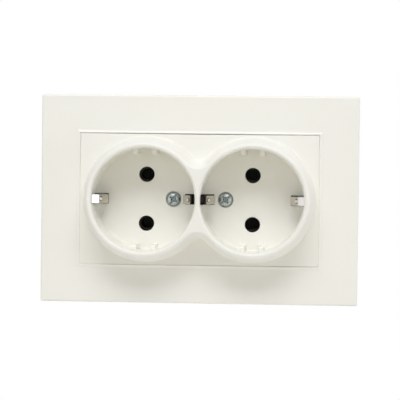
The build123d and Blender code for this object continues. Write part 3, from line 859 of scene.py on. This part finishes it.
# %% Fastener helpers
def set_out(name, tree, places, sizes, node):
    """Fasteners of one kind at pairs of place and turn, as one mesh in the place of a node."""
    points = bpy.data.meshes.new(name + "_places")
    points.from_pydata([place for place, turn in places], [], [])
    turns = points.attributes.new("turn", "FLOAT_VECTOR", "POINT")
    for entry, (place, turn) in zip(turns.data, places):
        entry.vector = turn
    maker = bpy.data.objects.new(name + "_maker", points)
    bpy.context.scene.collection.objects.link(maker)
    modifier = maker.modifiers.new("fasteners", "NODES")
    modifier.node_group = tree
    for item in tree.interface.items_tree:
        if item.in_out == "INPUT" and item.name in sizes:
            modifier[item.identifier] = sizes[item.name]
        elif item.name == "Finish":
            modifier[item.identifier] = finishes[slot_of[node]]
    made = maker.evaluated_get(bpy.context.evaluated_depsgraph_get())
    mesh = bpy.data.meshes.new_from_object(made)
    mesh.name = name
    bpy.data.objects.remove(maker)
    bpy.data.meshes.remove(points)
    piece = stand_in(shade(mesh), node)
    print(piece.name, "has", len(mesh.polygons), "faces")


FINE_PITCH = 0.5 * MM
CREST_RADIUS = 1.5 * MM
ROOT_RADIUS = 1.2 * MM
QUARTER_TURN = radians(90)


def fine_thread(length):
    """The sizes of a 3 mm thread of this length."""
    rows = float(round(ROWS_PER_TURN * length / FINE_PITCH))
    thread = {"Crest": CREST_RADIUS, "Root": ROOT_RADIUS, "Pitch": FINE_PITCH}
    return {**thread, "Length": length, "Rows": rows}


print("Fastener helpers are ready")

# %% [markdown]
# ## Cover screws
# One screw in the floor of each cup holds the centre plate. It has a raised, rounded head with a slot and
# a cross, and it is the only fastener seen from the room, so its head has the roundest form. Each slot
# has the turn that the photo shows.

# %% Cover screws
COVER_HEAD = {"Head Radius": 2.8 * MM, "Head Height": 2.0 * MM, "Squareness": 2.9}
COVER_DRIVE = {
    "Slot Width": 0.70 * MM, "Slot Depth": 0.95 * MM,
    "Cross Length": 3.4 * MM, "Cross Width": 0.80 * MM, "Cross Depth": 1.35 * MM,
}
LEFT_SLOT_TURN = radians(-57)
RIGHT_SLOT_TURN = radians(-38)
low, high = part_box("cover_screws")
seat = low.y + COVER_HEAD["Head Height"]
x = high.x - COVER_HEAD["Head Radius"]
places = [
    ((-x, seat, 0), (QUARTER_TURN, LEFT_SLOT_TURN, 0)),
    ((x, seat, 0), (QUARTER_TURN, RIGHT_SLOT_TURN, 0)),
]
sizes = {**COVER_HEAD, **COVER_DRIVE, **fine_thread(high.y - seat)}
set_out("cover_screws_turned", screw_tree, places, sizes, "cover_screws")

# %% [markdown]
# ## Terminal screws
# Three screws clamp the wires: one at the top and one at the bottom for the poles, and one at the side
# for the earth. They have flat-sided heads, which take a large driver. They stand upright, so their
# places need no turn towards the room, and the lower one is turned over.

# %% Terminal screws
TERMINAL_HEAD = {"Head Radius": 2.6 * MM, "Head Height": 2.0 * MM, "Squareness": 7.0}
TERMINAL_DRIVE = {"Slot Width": 0.8 * MM, "Slot Depth": 1.0 * MM}
TERMINAL_LENGTH = 5.2 * MM
low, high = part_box("terminal_screws")
top = TERMINAL_HEAD["Head Height"]
y = (low.y + high.y) / 2
earth_x = high.x - TERMINAL_HEAD["Head Radius"]
pole_seat = -low.z - top
places = [
    ((0, y, pole_seat), (0, 0, QUARTER_TURN)),
    ((earth_x, y, high.z - top), (0, 0, QUARTER_TURN)),
    ((0, y, -pole_seat), (0, pi, QUARTER_TURN)),
]
sizes = {**TERMINAL_HEAD, **TERMINAL_DRIVE, **fine_thread(TERMINAL_LENGTH)}
set_out("terminal_screws_turned", screw_tree, places, sizes, "terminal_screws")

# %% [markdown]
# ## Claw screws
# A long screw at the left and at the right draws a claw outwards, which grips the wall box. Each turns by
# itself, so each is a mesh of its own on its own body.

# %% Claw screws
CLAW_HEAD = {"Head Radius": 2.6 * MM, "Head Height": 1.6 * MM, "Squareness": 5.0}
CLAW_DRIVE = {"Slot Width": 0.8 * MM, "Slot Depth": 0.8 * MM}
for side in ("left", "right"):
    node = side + "_claw_screw"
    low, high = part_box(node)
    seat = low.y + CLAW_HEAD["Head Height"]
    places = [(((low.x + high.x) / 2, seat, 0), (QUARTER_TURN, 0, 0))]
    sizes = {**CLAW_HEAD, **CLAW_DRIVE, **fine_thread(high.y - seat)}
    set_out(node + "_turned", screw_tree, places, sizes, node)

# %% [markdown]
# ## Base rivets
# Two long rivets hold the base, the plate over the contacts and the earth strip together. Their plain
# shanks need only a few rows.

# %% Base rivets
RIVET_HEAD = {"Head Radius": 2.0 * MM, "Head Height": 0.8 * MM, "Squareness": 2.2}
low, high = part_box("base_rivets")
x = high.x - RIVET_HEAD["Head Radius"]
seat = low.y + RIVET_HEAD["Head Height"]
length = high.y - RIVET_HEAD["Head Height"] - seat
places = [((-x, seat, 0), (QUARTER_TURN, 0, 0)), ((x, seat, 0), (QUARTER_TURN, 0, 0))]
rivet = {**RIVET_HEAD, "Radius": 1.5 * MM, "Length": length, "Rows": 8.0}
set_out("base_rivets_turned", rivet_tree, places, rivet, "base_rivets")

# %% [markdown]
# ## Floor
# A plain pale floor lies well below the socket, which hangs as if on its wall. It is far enough down
# to leave the front clear, and it sends soft light back up under the frame. Half of what the camera and
# reflections see of it is plain white, so that it looks pale without more light on the socket, and the
# other half keeps the shadow.

# %% Floor
FLOOR_DROP = 0.30
FLOOR_SIZE = 2.4
WHITE_SHARE = 0.5
floor_mesh = bpy.data.meshes.new("floor")
shape = bmesh.new()
bmesh.ops.create_grid(shape, x_segments=1, y_segments=1, size=FLOOR_SIZE / 2)
bmesh.ops.translate(shape, vec=(0, 0, -FLOOR_DROP), verts=shape.verts)
shape.to_mesh(floor_mesh)
shape.free()
floor = bpy.data.objects.new("floor", floor_mesh)
bpy.context.scene.collection.objects.link(floor)
floor_finish, floor_shader, floor_place = new_finish("floor")
set_shader(
    floor_shader,
    Base_Color=between(noise(floor_place, 3.0), (0.80, 0.80, 0.80), (0.83, 0.83, 0.83)),
    Roughness=0.9,
)


def seen_rays(tree):
    """A wire that is 1 for what the camera sees, straight, mirrored or through glass, and else 0."""
    light_path = tree.nodes.new("ShaderNodeLightPath")
    seen = Wire(tree, light_path.outputs["Is Camera Ray"])
    return seen + seen.other("Is Glossy Ray") + seen.other("Is Transmission Ray")


floor_tree = floor_finish.node_tree
paper_white = floor_place.node("ShaderNodeEmission", {}, {"Color": (1, 1, 1, 1), "Strength": 1.0})
plain_floor = Wire(floor_tree, floor_shader.outputs[0])
halves = {0: WHITE_SHARE * seen_rays(floor_tree), 1: plain_floor, 2: paper_white}
floor_look = plain_floor.node("ShaderNodeMixShader", {}, halves)
feed(floor_tree, floor_tree.nodes["Material Output"].inputs["Surface"], floor_look)
floor_mesh.materials.append(floor_finish)
print("The floor lies", FLOOR_DROP, "m below the middle of the socket")

# %% [markdown]
# ## Light
# The photo is lit by one broad soft lamp high in front, by a weak fill at the left and at the right, by
# the pale room all round and by light that comes up: a narrow strip straight below, which brightens the
# underside of the ring and hardly grazes the plate, and a little warm light that the table sends back.
# How far the lip's shade reaches down a cup gives the main lamp's height, and how softly it ends gives
# the lamp's size. The fills are as bright as the cups' left and right walls need them. The world is plain
# white to the camera and in reflections, but lights the object at a lower strength, so that the
# background is white and the plastic keeps its tone.

# %% Light
ROOM = 0.378
world = bpy.data.worlds.new("studio")
bpy.context.scene.world = world
world.use_nodes = True
sky = world.node_tree.nodes["Background"]
seen = seen_rays(world.node_tree)
feed(world.node_tree, sky.inputs["Strength"], ROOM + (1 - ROOM) * seen)
sky.inputs["Color"].default_value = (1, 1, 1, 1)


def add_lamp(name, place, size, power, colour):
    """A soft oblong lamp that faces the socket."""
    light = bpy.data.lights.new(name, "AREA")
    light.shape = "RECTANGLE"
    light.size, light.size_y = size
    light.energy = power
    light.color = colour
    lamp = bpy.data.objects.new(name, light)
    lamp.location = place
    lamp.visible_camera = False
    lamp.rotation_euler = (-Vector(place)).to_track_quat("-Z", "Y").to_euler()
    bpy.context.scene.collection.objects.link(lamp)
    print(name, "stands", round(Vector(place).length, 2), "m away")


# name, place, width and height in metres, watts, tint
LAMPS = [
    ("key", (0.02, -0.64, 0.79), (0.8, 0.38), 5.9, (0.99, 1.0, 1.02)),
    ("left_fill", (-0.75, -0.70, 0.10), (0.7, 0.7), 0.55, (0.96, 1.0, 1.04)),
    ("right_fill", (0.98, -0.18, 0.0), (0.8, 0.25), 1.28, (0.97, 0.99, 1.05)),
    ("under_strip", (0.0, -0.025, -0.27), (0.6, 0.02), 0.166, (0.95, 0.98, 1.07)),
    ("table_glow", (0.0, -0.32, -0.27), (1.0, 0.3), 0.22, (1.0, 0.79, 0.02)),
]
for lamp in LAMPS:
    add_lamp(*lamp)

# %% [markdown]
# ## Camera
# The photo was taken from just right of the middle with a long lens, so the frame's sides are almost
# parallel and the cups' inner walls show a little more on the left. The place and turn were worked out
# from the corners of the frame and of the centre plate.

# %% Camera
LENS_MM = 130.0
SENSOR_MM = 36.0
CAMERA_PLACE = (0.0299, -0.5626, 0.0137)
CAMERA_TURN = (88.571, -0.709, 3.073)
lens = bpy.data.cameras.new("camera")
lens.lens = LENS_MM
lens.sensor_width = SENSOR_MM
lens.clip_start = 0.01
camera = bpy.data.objects.new("camera", lens)
camera.location = CAMERA_PLACE
camera.rotation_euler = [radians(angle) for angle in CAMERA_TURN]
bpy.context.scene.collection.objects.link(camera)
bpy.context.scene.camera = camera
bpy.context.scene.view_settings.view_transform = "Standard"
print("The camera stands", round(camera.location.length, 3), "m from the socket")
